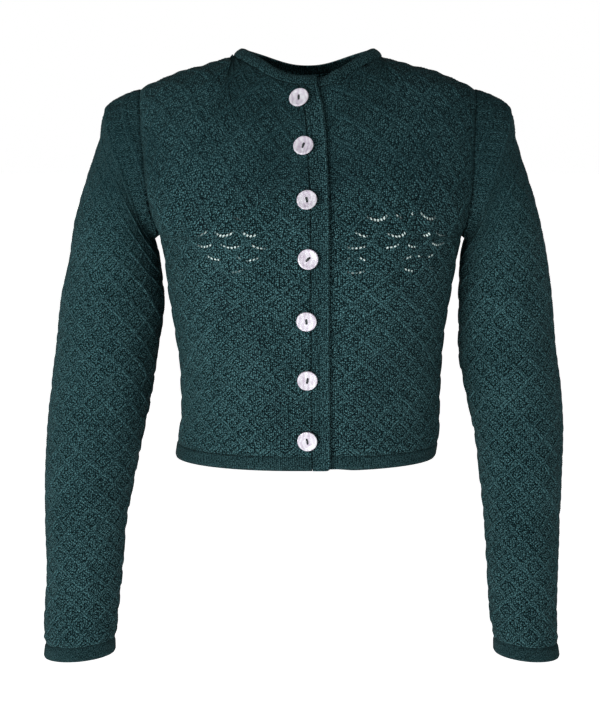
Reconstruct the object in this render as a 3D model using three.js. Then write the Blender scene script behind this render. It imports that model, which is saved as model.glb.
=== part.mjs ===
// A fitted wool cardigan in diamond lattice knit, in the hollow form that it has when worn.
// Millimetres, +Z up, front towards -Y, origin in the middle of the neck opening
// at the height where the shoulders meet the neck.
import * as THREE from 'three';

// ---- driving sizes ----
const CLOTH = 2;              // thickness of the knit
const TURNED_CLOTH = 2.6;     // the hem and cuffs are turned up double
const LATTICE_RISE = 0.9;     // how far the lattice stands out of the cloth
const SEAM = 0.3;             // gap between two pieces
const ARMHOLE_SEAM = 1.4;     // the sleeve starts this far out, clear of the armhole's turned edge
const HEM_BOTTOM = -397;
const HEM_SEAM = -383;
const ARMPIT = -177;
const SHOULDER_TURN = -75;    // above this the knitting heads for the shoulder seam
const BAND_WIDTH = 18;        // plain strip down each front
const LAP = 40;               // how far the fronts lie over each other
const UNDERLAP_DROP = 4.8;    // how far the covered front lies further in
const NECK_HALF = 73;         // half the neck seam's width at the shoulders
const SHOULDER_HALF = 163;    // half the width from shoulder tip to shoulder tip
const FRONT_NECK = 68;        // how far the neck seam reaches to the front
const BACK_NECK = 62;
const NECK_ROUND = 2.2;       // 2 would make the neck seam an oval, seen from above
const NECKBAND_LEAN = 9.5;    // how far the neckband's top leans in
const NECKBAND_RISE = 9;
const CUFF_LENGTH = 14;
const CUFF_FLARE = 1.4;
const BUTTON_RADIUS = 9.6;
const BUTTON_THICK = 2.8;
const BUTTON_SEAT = 0.6;      // the lattice that a button lies on
const HOLE_RADIUS = 1.1;
const HOLE_APART = 1.9;       // from the button's middle to that of a hole

// ---- how many half diamonds a piece has ----
const HALF_PANEL_COLUMNS = 14;
const NECK_COLUMNS = 8;       // of those, the columns that end at the neck
const LOWER_ROWS = 18;        // hem seam to armpit
const UPPER_ROWS = 12;        // armpit to shoulder or neck
const PANEL_ROWS = LOWER_ROWS + UPPER_ROWS;
const SLEEVE_COLUMNS = 2 * UPPER_ROWS;
const CAP_ROWS = 18;          // rows that fan out round the shoulder
const ARM_ROWS = 30;
const SLEEVE_ROWS = CAP_ROWS + ARM_ROWS;
const SHAPED_ROWS = 16;       // rows in which the sleeve turns from the armhole's shape to round

// ---- the body's level sections ----
// Above the armpit the sections run on under the sleeve, and above the shoulder tips
// they narrow along the slope of the shoulders.
const SQUARENESS = 2.25;      // 2 would be an ellipse
const BODY = [
  { z: -400, half: 130, lean: -2.5, front: 95, back: 88 },
  { z: -380, half: 130, lean: 0.5, front: 97, back: 88 },
  { z: -350, half: 128.5, lean: 3, front: 99, back: 86 },
  { z: -310, half: 129.5, lean: 3, front: 103, back: 86 },
  { z: -270, half: 133.5, lean: 1.8, front: 110, back: 89 },
  { z: -230, half: 139.5, lean: 2.2, front: 117, back: 94 },
  { z: -200, half: 143.5, lean: 3, front: 120, back: 98 },
  { z: -177, half: 148.5, lean: 3, front: 119, back: 100 },
  { z: -150, half: 161, lean: 2, front: 114, back: 101 },
  { z: -105, half: 173, lean: 1, front: 102, back: 98 },
  { z: -70, half: 176, lean: 0, front: 89, back: 89 },
  { z: -50, half: 173, lean: 0, front: 78, back: 80 },
  { z: -40, half: 168, lean: 0, front: 72.5, back: 75 },
  { z: -34, half: SHOULDER_HALF, lean: 0, front: 70, back: 71.5 },
  { z: -26.5, half: 147, lean: 0, front: 65, back: 68 },
  { z: -19, half: 130, lean: 0, front: 59.5, back: 63 },
  { z: -11, half: 101, lean: 0, front: 53, back: 57 },
  { z: -3, half: NECK_HALF, lean: 0, front: 47, back: 50 },
  { z: 6, half: 50, lean: 0, front: 41, back: 43 },
];
// The armhole, seen from the side: half its height and how far it reaches from the side seam.
const ARMHOLE = { middle: -105.5, halfHeight: 71.5, front: 47, back: 50 };

// ---- the edge of the front that lies on top, from hem to neck ----
const FRONT_EDGE = [
  { z: -400, x: 22.2 },
  { z: -327, x: 21.3 },
  { z: -230, x: 20.4 },
  { z: -172, x: 20.3 },
  { z: -136, x: 19.8 },
  { z: -101, x: 18.2 },
  { z: -73, x: 16.8 },
  { z: -52, x: 14.4 },
  { z: -40, x: 11.5 },
  { z: -31, x: 9 },
  { z: -20, x: 5.5 },
];

// ---- the sleeves ----
// Their top line from the shoulder tip round the cap, the same on both.
const CAP_LINE = [
  { x: SHOULDER_HALF, z: -34 },
  { x: 180, z: -40.5 },
  { x: 192, z: -47 },
  { x: 198.5, z: -54 },
  { x: 201, z: -65 },
  { x: 203.5, z: -80 },
  { x: 212.5, z: -108 },
  { x: 222.5, z: -138 },
  { x: 230.5, z: -167 },
];
// Down each arm: how far the outside and the inside are from the middle of the body,
// how far forward the arm is, and half its depth.
const ARM = [
  { z: -197, rightOut: 235, rightIn: 148, leftOut: 237, leftIn: 153.5, forward: -2, depth: 49 },
  { z: -242, rightOut: 245, rightIn: 144.5, leftOut: 243, leftIn: 151, forward: -3, depth: 50 },
  { z: -287, rightOut: 250.5, rightIn: 149.5, leftOut: 247.5, leftIn: 151.5, forward: -4, depth: 49 },
  { z: -332, rightOut: 256.5, rightIn: 156, leftOut: 253.5, leftIn: 159, forward: -3, depth: 47 },
  { z: -378, rightOut: 261, rightIn: 166, leftOut: 256, leftIn: 168.5, forward: 0, depth: 45 },
  { z: -424, rightOut: 263, rightIn: 174.5, leftOut: 255, leftIn: 174.7, forward: 5, depth: 42 },
  { z: -468, rightOut: 263, rightIn: 182.5, leftOut: 253, leftIn: 179.6, forward: 11, depth: 39 },
  { z: -513, rightOut: 262, rightIn: 186.5, leftOut: 251, leftIn: 181.6, forward: 17, depth: 36 },
  { z: -557, rightOut: 263, rightIn: 191.5, leftOut: 249.5, leftIn: 183.6, forward: 24, depth: 34 },
  { z: -583, rightOut: 262.5, rightIn: 193.5, leftOut: 250.5, leftIn: 187, forward: 28, depth: 33 },
];
const FAN_END = -242;         // where the rows of the cap have become level
const UNDERARM_STEP = { out: 7, drop: 6 };  // how the underarm leaves the body
const CUFF_TILT = 5;          // the inside of a cuff is this much higher than its outside

// ---- the buttons, on the front that lies on top ----
// Each is tipped up and turned by the pull of its thread, in degrees.
const BUTTONS = [
  { z: -45.7, x: -8.1, up: 2, turn: 20 },
  { z: -89.5, x: -4.1, up: 10, turn: 13 },
  { z: -139, x: -0.9, up: 12, turn: 11 },
  { z: -192.6, x: 0.1, up: 5, turn: 5 },
  { z: -250.3, x: -1.4, up: -5, turn: 3 },
  { z: -307.6, x: -0.6, up: -4, turn: -2 },
  { z: -366.6, x: -0.4, up: -6, turn: 7 },
];

// ---- reading a table between its rows ----
function tableCurve(rows, key) {
  const sorted = [...rows].sort((first, second) => first[key] - second[key]);
  const last = sorted.length - 1;
  const rate = (at, name) => (sorted[at + 1][name] - sorted[at][name]) / (sorted[at + 1][key] - sorted[at][key]);
  const slope = (at, name) => {
    if (at === 0) return rate(0, name);
    if (at === last) return rate(last - 1, name);
    const before = rate(at - 1, name);
    const after = rate(at, name);
    return before * after <= 0 ? 0 : (2 * before * after) / (before + after);
  };
  const curves = {};
  for (const name of Object.keys(sorted[0])) {
    curves[name] = (value) => {
      let at = 0;
      while (at < last - 1 && value > sorted[at + 1][key]) at += 1;
      const span = sorted[at + 1][key] - sorted[at][key];
      const t = THREE.MathUtils.clamp((value - sorted[at][key]) / span, 0, 1);
      const low = sorted[at][name];
      const high = sorted[at + 1][name];
      const lowSlope = slope(at, name) * span;
      const highSlope = slope(at + 1, name) * span;
      const t2 = t * t;
      const t3 = t2 * t;
      return (2 * t3 - 3 * t2 + 1) * low + (t3 - 2 * t2 + t) * lowSlope
        + (3 * t2 - 2 * t3) * high + (t3 - t2) * highSlope;
    };
  }
  return curves;
}

const body = tableCurve(BODY, 'z');
const arm = tableCurve(ARM, 'z');
const frontEdge = tableCurve(FRONT_EDGE, 'z').x;
const { lerp, smoothstep, degToRad } = THREE.MathUtils;

// Points equally far apart along a path of many close points.
function spread(path, steps) {
  const lengths = [0];
  for (let at = 1; at < path.length; at += 1) {
    lengths.push(lengths[at - 1] + path[at].distanceTo(path[at - 1]));
  }
  const total = lengths[lengths.length - 1];
  const points = [];
  let at = 1;
  for (let step = 0; step <= steps; step += 1) {
    const goal = (total * step) / steps;
    while (at < path.length - 1 && lengths[at] < goal) at += 1;
    const t = (goal - lengths[at - 1]) / (lengths[at] - lengths[at - 1]);
    points.push(path[at - 1].clone().lerp(path[at], t));
  }
  return points;
}

// ---- the body's form ----
// The angle goes round from the middle of the front (0) to a side (90) and the back (180).
function onBody(angle, z) {
  const depth = Math.cos(angle) > 0 ? body.front(z) : body.back(z);
  const round = (value) => Math.sign(value) * Math.abs(value) ** (2 / SQUARENESS);
  const x = body.lean(z) + body.half(z) * round(Math.sin(angle));
  return new THREE.Vector3(x, -depth * round(Math.cos(angle)), z);
}

// The point of the form that has this x, on the front (-1) or the back (+1).
function bodyAt(x, z, face) {
  const depth = face < 0 ? body.front(z) : body.back(z);
  const across = Math.min(Math.abs(x - body.lean(z)) / body.half(z), 1);
  return new THREE.Vector3(x, face * depth * (1 - across ** SQUARENESS) ** (1 / SQUARENESS), z);
}

function bodyNormal(point) {
  const level = (x, y, z) => {
    const depth = y < 0 ? body.front(z) : body.back(z);
    return (Math.abs(x - body.lean(z)) / body.half(z)) ** SQUARENESS + (Math.abs(y) / depth) ** SQUARENESS;
  };
  const step = 0.01;
  const { x, y, z } = point;
  return new THREE.Vector3(
    level(x + step, y, z) - level(x - step, y, z),
    level(x, y + step, z) - level(x, y - step, z),
    level(x, y, z + step) - level(x, y, z - step),
  ).normalize();
}

// The height of the shoulder's ridge, where the sections are just this wide.
function ridgeHeight(x) {
  let low = -34;
  let high = 6;
  while (high - low > 0.01) {
    const middle = (low + high) / 2;
    if (body.half(middle) > Math.abs(x)) low = middle;
    else high = middle;
  }
  return low;
}

// The height of the form straight above or below a point of its upper part.
function topHeight(x, y) {
  let low = -60;
  let high = 6;
  while (high - low > 0.01) {
    const middle = (low + high) / 2;
    const depth = y < 0 ? body.front(middle) : body.back(middle);
    const level = (Math.abs(x) / body.half(middle)) ** SQUARENESS + (Math.abs(y) / depth) ** SQUARENESS;
    if (level < 1) low = middle;
    else high = middle;
  }
  return low;
}

// The neck seam from the front or back middle round to a shoulder, as a fine path.
function neckPath(side, face, startX) {
  const reach = face < 0 ? FRONT_NECK : BACK_NECK;
  const round = (value) => Math.sign(value) * Math.abs(value) ** (2 / NECK_ROUND);
  const from = Math.sign(startX) * Math.asin((Math.abs(startX) / NECK_HALF) ** (NECK_ROUND / 2));
  const fine = 60;
  const path = [];
  for (let at = 0; at <= fine; at += 1) {
    const angle = lerp(from, side * Math.PI / 2, at / fine);
    const x = NECK_HALF * round(Math.sin(angle));
    const y = face * reach * round(Math.max(Math.cos(angle), 0));
    path.push(new THREE.Vector3(x, y, topHeight(x, y)));
  }
  return path;
}

// Where a half panel begins: at the band on a front, at the middle on the back.
function panelStart(side, face, z) {
  if (face > 0) return body.lean(z);
  return side < 0 ? frontEdge(z) - BAND_WIDTH : frontEdge(z) - LAP + BAND_WIDTH;
}

// The angle of the side seam, and above the armpit that of the armhole.
function sideAngle(side, face, z) {
  if (z <= ARMPIT) return side * Math.PI / 2;
  const reach = face < 0 ? ARMHOLE.front : ARMHOLE.back;
  const up = (z - ARMHOLE.middle) / ARMHOLE.halfHeight;
  const y = reach * Math.sqrt(Math.max(1 - up * up, 0));
  const depth = face < 0 ? body.front(z) : body.back(z);
  const fromFront = Math.acos((y / depth) ** (SQUARENESS / 2));
  return side * (face < 0 ? fromFront : Math.PI - fromFront);
}

// The points of one level row, from the start of a half panel to its side.
function levelRow(side, face, z) {
  const start = panelStart(side, face, z);
  const across = Math.abs(start - body.lean(z)) / body.half(z);
  const startAngle = Math.sign(start - body.lean(z)) * Math.asin(across ** (SQUARENESS / 2));
  const from = face < 0 ? startAngle : side * Math.PI;
  const to = sideAngle(side, face, z);
  const fine = 48;
  const path = [];
  for (let at = 0; at <= fine; at += 1) path.push(onBody(lerp(from, to, at / fine), z));
  return spread(path, HALF_PANEL_COLUMNS);
}

// One line of knitting from the hem up to the neck or the shoulder seam.
function panelColumn(side, face, column) {
  const points = [];
  for (let row = 0; row <= LOWER_ROWS; row += 1) {
    points.push(levelRow(side, face, lerp(HEM_SEAM, ARMPIT, row / LOWER_ROWS))[column]);
  }
  const neckStart = panelStart(side, face, topHeight(0, face * (face < 0 ? FRONT_NECK : BACK_NECK)));
  const alongShoulder = (column - NECK_COLUMNS) / (HALF_PANEL_COLUMNS - NECK_COLUMNS);
  const shoulderX = side * lerp(NECK_HALF, SHOULDER_HALF, alongShoulder);
  const top = column <= NECK_COLUMNS
    ? spread(neckPath(side, face, neckStart), NECK_COLUMNS)[column]
    : new THREE.Vector3(shoulderX, 0, ridgeHeight(shoulderX));
  const fine = 40;
  const path = [];
  for (let at = 0; at <= fine; at += 1) {
    path.push(levelRow(side, face, lerp(ARMPIT, SHOULDER_TURN, at / fine))[column]);
  }
  const turn = path[fine];
  for (let at = 1; at <= fine; at += 1) {
    const t = at / fine;
    const z = top.z - (top.z - SHOULDER_TURN) * (1 - t) ** 2;
    const rising = smoothstep((z - SHOULDER_TURN) / (top.z - SHOULDER_TURN), 0, 1);
    const start = panelStart(side, face, z) - lerp(panelStart(side, face, SHOULDER_TURN), neckStart, rising);
    const x = lerp(turn.x, top.x, rising) + start * Math.max(1 - column / NECK_COLUMNS, 0);
    path.push(bodyAt(x, z, face));
  }
  path[path.length - 1] = top;
  points.push(...spread(path, UPPER_ROWS).slice(1));
  return points;
}

const panels = {};
for (const side of [-1, 1]) {
  for (const face of [-1, 1]) {
    const columns = [];
    for (let column = 0; column <= HALF_PANEL_COLUMNS; column += 1) {
      columns.push(panelColumn(side, face, column));
    }
    panels[`${side},${face}`] = columns;
  }
}
const panel = (side, face) => panels[`${side},${face}`];

// ---- walls of cloth ----
const yarn = () => new THREE.MeshStandardMaterial({ color: '#1f3f43', roughness: 0.95, metalness: 0 });
const pearl = () => new THREE.MeshStandardMaterial({ color: '#dcdde2', roughness: 0.3, metalness: 0 });

// outer and inner are nets of points, net[row][column]. The inner net keeps each point whose
// row and column are multiples of coarse. Quads of the outer net are split along the diagonal
// that joins raised points, and closed walls run round in columns.
function wall(name, outer, inner, { coarse = 1, closed = false } = {}) {
  const rows = outer.length - 1;
  const columns = closed ? outer[0].length : outer[0].length - 1;
  const positions = [];
  const faces = [];
  const number = (net, stride) => {
    const numbers = [];
    for (let row = 0; row <= rows; row += stride) {
      const line = [];
      const count = closed ? columns : columns + 1;
      for (let column = 0; column < count; column += stride) {
        line.push(positions.length / 3);
        positions.push(...net[row][column].toArray());
      }
      if (closed) line.push(line[0]);
      numbers.push(line);
    }
    return numbers;
  };
  const outside = number(outer, 1);
  const inside = number(inner, coarse);
  const quads = (net, turned) => {
    for (let row = 0; row < net.length - 1; row += 1) {
      for (let column = 0; column < net[0].length - 1; column += 1) {
        const a = net[row][column];
        const b = net[row][column + 1];
        const c = net[row + 1][column + 1];
        const d = net[row + 1][column];
        const even = (row + column) % 2 === 0;
        const pair = even ? [[a, b, c], [a, c, d]] : [[a, b, d], [b, c, d]];
        for (const [first, second, third] of pair) {
          faces.push(...(turned ? [first, third, second] : [first, second, third]));
        }
      }
    }
  };
  quads(outside, false);
  quads(inside, true);
  const rim = (fine, plain) => {
    for (let at = 0; at < plain.length - 1; at += 1) {
      const start = at * coarse;
      for (let step = 0; step < coarse; step += 1) {
        const anchor = plain[at + (step < coarse / 2 ? 0 : 1)];
        faces.push(fine[start + step + 1], fine[start + step], anchor);
        if (step === Math.floor((coarse - 1) / 2)) {
          faces.push(fine[start + step + 1], plain[at], plain[at + 1]);
        }
      }
    }
  };
  const side = (net, column) => net.map((line) => line[column]);
  rim(outside[0], inside[0]);
  rim([...outside[rows]].reverse(), [...inside[inside.length - 1]].reverse());
  if (!closed) {
    rim(side(outside, columns), side(inside, inside[0].length - 1));
    rim(side(outside, 0).reverse(), side(inside, 0).reverse());
  }
  const geometry = new THREE.BufferGeometry();
  geometry.setAttribute('position', new THREE.Float32BufferAttribute(positions, 3));
  geometry.setIndex(facingOut(positions, faces));
  geometry.computeVertexNormals();
  const mesh = new THREE.Mesh(geometry, yarn());
  mesh.name = name;
  return mesh;
}

function facingOut(positions, faces) {
  let volume = 0;
  const corner = (index) => new THREE.Vector3().fromArray(positions, index * 3);
  for (let at = 0; at < faces.length; at += 3) {
    const [a, b, c] = faces.slice(at, at + 3).map(corner);
    volume += a.dot(b.cross(c));
  }
  if (volume > 0) return faces;
  const turned = [];
  for (let at = 0; at < faces.length; at += 3) turned.push(faces[at], faces[at + 2], faces[at + 1]);
  return turned;
}

// The lattice stands out at every second crossing, but not along a seam.
function rise(row, column, rows, columns) {
  const seam = row === 0 || row === rows || column === 0 || column === columns;
  return seam || (row + column) % 2 === 1 ? 0 : LATTICE_RISE;
}

// How far in the covered front lies: fully under the other front, then rising out from under it.
function underlap(point) {
  const past = point.x - frontEdge(point.z);
  return UNDERLAP_DROP * (1 - smoothstep(past, 5, 24));
}

// ---- front and back panels ----
function panelWall(name, columns, { under = false } = {}) {
  const width = columns.length - 1;
  const outer = [];
  const inner = [];
  for (let row = 0; row <= PANEL_ROWS; row += 1) {
    const outerLine = [];
    const innerLine = [];
    for (let column = 0; column <= width; column += 1) {
      const point = columns[column][row];
      const normal = bodyNormal(point);
      const drop = under ? underlap(point) : 0;
      const shown = 1 - drop / UNDERLAP_DROP;
      const height = rise(row, column, PANEL_ROWS, width) * shown - drop;
      outerLine.push(point.clone().addScaledVector(normal, height));
      innerLine.push(point.clone().addScaledVector(normal, -CLOTH - drop));
    }
    outer.push(outerLine);
    inner.push(innerLine);
  }
  return wall(name, outer, inner, { coarse: 2 });
}

// The side and shoulder seams lie half the gap off the middle, front and back.
function openSeams(columns, face) {
  return columns.map((line) => line.map((point) => {
    const moved = point.clone();
    if (Math.abs(moved.y) < SEAM) moved.y = face * SEAM / 2;
    return moved;
  }));
}

// ---- front bands, from the hem's edge to the neck ----
function bandWall(name, side) {
  const levels = panel(side, -1)[0].map((point) => point.z);
  levels.unshift(HEM_BOTTOM);
  const outer = [];
  const inner = [];
  for (const z of levels) {
    const edge = side < 0 ? frontEdge(z) : frontEdge(z) - LAP;
    const seamX = panelStart(side, -1, z) - side * 1.5 * SEAM;
    const outerLine = [];
    const innerLine = [];
    for (const share of [0, 0.5, 1]) {
      const point = bodyAt(lerp(seamX, edge, share), z, -1);
      const normal = bodyNormal(point);
      const drop = side < 0 ? 0 : UNDERLAP_DROP;
      outerLine.push(point.clone().addScaledVector(normal, -drop));
      innerLine.push(point.clone().addScaledVector(normal, -CLOTH - drop));
    }
    outer.push(outerLine);
    inner.push(innerLine);
  }
  return wall(name, outer, inner);
}

// ---- turned hem below each panel ----
const HEM_PROFILE = [
  { z: HEM_SEAM - SEAM, out: -0.3 },      // the groove above the hem
  { z: HEM_SEAM - 3, out: 0.4 },
  { z: HEM_BOTTOM + 2.5, out: 0.4 },
  { z: HEM_BOTTOM, out: -0.3 },
];

function hemWall(name, levelLine, face, { under = false } = {}) {
  const outer = [];
  const inner = [];
  for (const { z, out } of HEM_PROFILE) {
    const outerLine = [];
    const innerLine = [];
    for (const point of openSeams([levelLine(z)], face)[0]) {
      const normal = bodyNormal(point);
      const drop = under ? underlap(point) : 0;
      outerLine.push(point.clone().addScaledVector(normal, out - drop));
      innerLine.push(point.clone().addScaledVector(normal, -TURNED_CLOTH + 0.4 - drop));
    }
    outer.push(outerLine);
    inner.push(innerLine);
  }
  return wall(name, outer, inner);
}

// ---- neckband, from the top front's edge round the back to the covered edge ----
function neckbandWall(name) {
  const stops = [];
  const halfBand = BAND_WIDTH / 2;
  const edgeTop = panel(-1, -1)[0][PANEL_ROWS];
  const coveredTop = panel(1, -1)[0][PANEL_ROWS];
  const top = (side, face, column) => panel(side, face)[column][PANEL_ROWS];
  for (let at = 2; at > 0; at -= 1) {
    stops.push({ point: bodyAt(edgeTop.x + at * halfBand, edgeTop.z, -1), drop: 0 });
  }
  for (let at = 0; at < NECK_COLUMNS; at += 1) stops.push({ point: top(-1, -1, at), drop: 0 });
  for (let at = NECK_COLUMNS; at > 0; at -= 1) stops.push({ point: top(-1, 1, at), drop: 0 });
  for (let at = 0; at < NECK_COLUMNS; at += 1) stops.push({ point: top(1, 1, at), drop: 0 });
  for (let at = NECK_COLUMNS; at >= 0; at -= 1) {
    stops.push({ point: top(1, -1, at), drop: underlap(top(1, -1, at)) });
  }
  for (let at = 1; at <= 2; at += 1) {
    stops.push({ point: bodyAt(coveredTop.x - at * halfBand, coveredTop.z, -1), drop: UNDERLAP_DROP });
  }
  const outer = [[], [], []];
  const inner = [[], [], []];
  for (const { point, drop } of stops) {
    const normal = bodyNormal(point);
    const seam = point.clone().addScaledVector(normal, -drop);
    const inward = new THREE.Vector3(-point.x, -point.y, 0).normalize();
    const up = inward.clone().multiplyScalar(NECKBAND_LEAN).add(new THREE.Vector3(0, 0, NECKBAND_RISE));
    const outward = new THREE.Vector3(-inward.x, -inward.y, 0).multiplyScalar(NECKBAND_RISE)
      .add(new THREE.Vector3(0, 0, NECKBAND_LEAN)).normalize();
    const along = up.clone().addScaledVector(normal, -up.dot(normal)).normalize();
    const start = seam.clone().addScaledVector(along, 1.5 * SEAM);
    outer[0].push(start);
    inner[0].push(start.clone().addScaledVector(normal, -CLOTH));
    const middle = seam.clone().addScaledVector(up, 0.55).addScaledVector(outward, 0.8);
    outer[1].push(middle);
    inner[1].push(middle.clone().addScaledVector(outward, -CLOTH));
    const rim = seam.clone().add(up);
    outer[2].push(rim);
    inner[2].push(rim.clone().addScaledVector(outward, -CLOTH));
  }
  return wall(name, outer, inner, { coarse: 2 });
}

// ---- sleeves ----
function sleeveLines(side) {
  const [outName, inName] = side < 0 ? ['rightOut', 'rightIn'] : ['leftOut', 'leftIn'];
  const smooth = (points) => new THREE.CatmullRomCurve3(points, false, 'centripetal').getPoints(30 * points.length);
  const place = (x, z) => new THREE.Vector3(side * x, 0, z);
  const split = (path) => {
    const at = path.findIndex((point) => point.z <= FAN_END);
    return [path.slice(0, at + 1), path.slice(at)];
  };
  const outLine = smooth([...CAP_LINE, ...ARM.map((row) => ({ x: row[outName], z: row.z }))]
    .map(({ x, z }) => place(x, z)));
  const pitX = Math.abs(panel(side, -1)[HALF_PANEL_COLUMNS][LOWER_ROWS].x);
  const lastRow = ARM[ARM.length - 1];
  const inLine = smooth([
    place(pitX, ARMPIT),
    place(pitX + UNDERARM_STEP.out, ARMPIT - UNDERARM_STEP.drop),
    ...ARM.slice(0, -1).map((row) => place(row[inName], row.z)),
    place(lastRow[inName], lastRow.z + CUFF_TILT),
  ]);
  const [capOut, armOut] = split(outLine);
  const [capIn, armIn] = split(inLine);
  return {
    out: [...spread(capOut, CAP_ROWS), ...spread(armOut, ARM_ROWS).slice(1)],
    in: [...spread(capIn, CAP_ROWS), ...spread(armIn, ARM_ROWS).slice(1)],
  };
}

// The frame of one ring: its middle, the half line across it and the line that it faces along.
function ringFrame(lines, row) {
  const middle = lines.out[row].clone().add(lines.in[row]).divideScalar(2);
  const across = lines.out[row].clone().sub(lines.in[row]).divideScalar(2);
  const z = Math.max(middle.z, ARM[ARM.length - 1].z);
  middle.y = -arm.forward(z);
  return { middle, across, facing: new THREE.Vector3(across.z, 0, -across.x).normalize(), depth: arm.depth(z) };
}

function sleeveNet(side) {
  const lines = sleeveLines(side);
  const front = panel(side, -1)[HALF_PANEL_COLUMNS].slice(LOWER_ROWS);
  const back = panel(side, 1)[HALF_PANEL_COLUMNS].slice(LOWER_ROWS);
  const loop = [...front, ...back.slice(1, -1).reverse()];
  const first = ringFrame(lines, 0);
  const loopShape = loop.map((point) => {
    const from = point.clone().sub(first.middle);
    return {
      across: from.dot(first.across) / first.across.lengthSq(),
      deep: from.y / first.depth,
      facing: from.dot(first.facing),
    };
  });
  const net = [];
  for (let row = 0; row <= SLEEVE_ROWS; row += 1) {
    const frame = ringFrame(lines, row);
    const rounded = smoothstep(row, 0, SHAPED_ROWS);
    net.push(loopShape.map((shape, column) => {
      const angle = (2 * Math.PI * column) / SLEEVE_COLUMNS;
      return frame.middle.clone()
        .addScaledVector(frame.across, lerp(shape.across, -Math.cos(angle), rounded))
        .addScaledVector(frame.facing, lerp(shape.facing, 0, rounded))
        .add(new THREE.Vector3(0, frame.depth * lerp(shape.deep, -Math.sin(angle), rounded), 0));
    }));
  }
  for (const point of net[0]) point.x += side * ARMHOLE_SEAM;
  return net;
}

function netNormal(net, row, column, side) {
  const count = net[0].length;
  const below = net[Math.max(row - 1, 0)][column];
  const above = net[Math.min(row + 1, net.length - 1)][column];
  const before = net[row][(column + count - 1) % count];
  const after = net[row][(column + 1) % count];
  const normal = above.clone().sub(below).cross(after.clone().sub(before)).normalize();
  return normal.multiplyScalar(-side);
}

function sleeveWall(name, side, net) {
  const outer = [];
  const inner = [];
  for (let row = 0; row <= SLEEVE_ROWS; row += 1) {
    const outerLine = [];
    const innerLine = [];
    for (let column = 0; column < SLEEVE_COLUMNS; column += 1) {
      const point = net[row][column];
      const normal = netNormal(net, row, column, side);
      const height = row <= 1 || row === SLEEVE_ROWS || (row + column) % 2 === 1 ? 0 : LATTICE_RISE;
      outerLine.push(point.clone().addScaledVector(normal, height));
      innerLine.push(point.clone().addScaledVector(normal, -CLOTH));
    }
    outer.push(outerLine);
    inner.push(innerLine);
  }
  return wall(name, outer, inner, { coarse: 2, closed: true });
}

function cuffWall(name, side, net) {
  const last = net[SLEEVE_ROWS];
  const before = net[SLEEVE_ROWS - 3];
  const down = new THREE.Vector3();
  last.forEach((point, column) => down.add(point).sub(before[column]));
  down.normalize();
  const profile = [
    { along: 2 * SEAM, out: -0.3 },
    { along: 3, out: 0.7 },
    { along: CUFF_LENGTH - 2.5, out: CUFF_FLARE },
    { along: CUFF_LENGTH, out: CUFF_FLARE - 0.7 },
  ];
  const outer = [];
  const inner = [];
  for (const { along, out } of profile) {
    const place = (column, offset) => {
      const normal = netNormal(net, SLEEVE_ROWS, column, side);
      return last[column].clone().addScaledVector(down, along).addScaledVector(normal, offset);
    };
    outer.push(last.map((_, column) => place(column, out)));
    inner.push(last.map((_, column) => place(column, out - TURNED_CLOTH + 0.3)));
  }
  return wall(name, outer, inner, { closed: true });
}

// ---- buttons: round shell discs with two holes ----
function buttonMesh(number, { z, x, up, turn }) {
  const disc = new THREE.Shape();
  const bevel = 0.6;
  disc.absarc(0, 0, BUTTON_RADIUS - bevel, 0, 2 * Math.PI, false);
  for (const end of [-1, 1]) {
    const hole = new THREE.Path();
    const corners = [5, 4, 3, 2, 1, 0].map((at) => new THREE.Vector2(
      HOLE_RADIUS * Math.cos((at * Math.PI) / 3),
      end * HOLE_APART + HOLE_RADIUS * Math.sin((at * Math.PI) / 3),
    ));
    hole.setFromPoints([...corners, corners[0]]);
    disc.holes.push(hole);
  }
  const geometry = new THREE.ExtrudeGeometry(disc, {
    depth: BUTTON_THICK - 2 * bevel,
    bevelEnabled: true,
    bevelThickness: bevel,
    bevelSize: bevel / 2,
    bevelSegments: 1,
    curveSegments: 10,
  });
  geometry.translate(0, 0, bevel);
  const mesh = new THREE.Mesh(geometry, pearl());
  mesh.name = `button_${number}`;
  const point = bodyAt(x, z, -1);
  const normal = bodyNormal(point);
  const tip = new THREE.Vector3(-Math.sin(degToRad(turn)), 0, Math.sin(degToRad(up)));
  const facing = normal.clone().add(tip).normalize();
  const tilt = Math.acos(Math.min(facing.dot(normal), 1));
  const clear = SEAM + BUTTON_SEAT + BUTTON_RADIUS * Math.sin(tilt);
  const level = new THREE.Vector3(0, 0, 1).cross(facing).normalize();
  const upward = facing.clone().cross(level);
  mesh.quaternion.setFromRotationMatrix(new THREE.Matrix4().makeBasis(level, upward, facing));
  mesh.position.copy(point).addScaledVector(normal, clear);
  return mesh;
}

// ---- the whole cardigan ----
const cardigan = new THREE.Group();
const rightFront = openSeams(panel(-1, -1), -1);
const leftFront = openSeams(panel(1, -1), -1);
const back = openSeams([...panel(-1, 1).slice(1).reverse(), ...panel(1, 1)], 1);
cardigan.add(
  panelWall('front_right', rightFront),
  panelWall('front_left', leftFront, { under: true }),
  panelWall('back', back),
  bandWall('band_right', -1),
  bandWall('band_left', 1),
  hemWall('hem_right', (z) => levelRow(-1, -1, z), -1),
  hemWall('hem_left', (z) => levelRow(1, -1, z), -1, { under: true }),
  hemWall('hem_back', (z) => [...levelRow(-1, 1, z).slice(1).reverse(), ...levelRow(1, 1, z)], 1),
  neckbandWall('neckband'),
);
for (const [side, word] of [[-1, 'right'], [1, 'left']]) {
  const net = sleeveNet(side);
  cardigan.add(sleeveWall(`sleeve_${word}`, side, net), cuffWall(`cuff_${word}`, side, net));
}
BUTTONS.forEach((button, at) => cardigan.add(buttonMesh(at + 1, button)));

export default cardigan;
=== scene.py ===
import math

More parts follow.
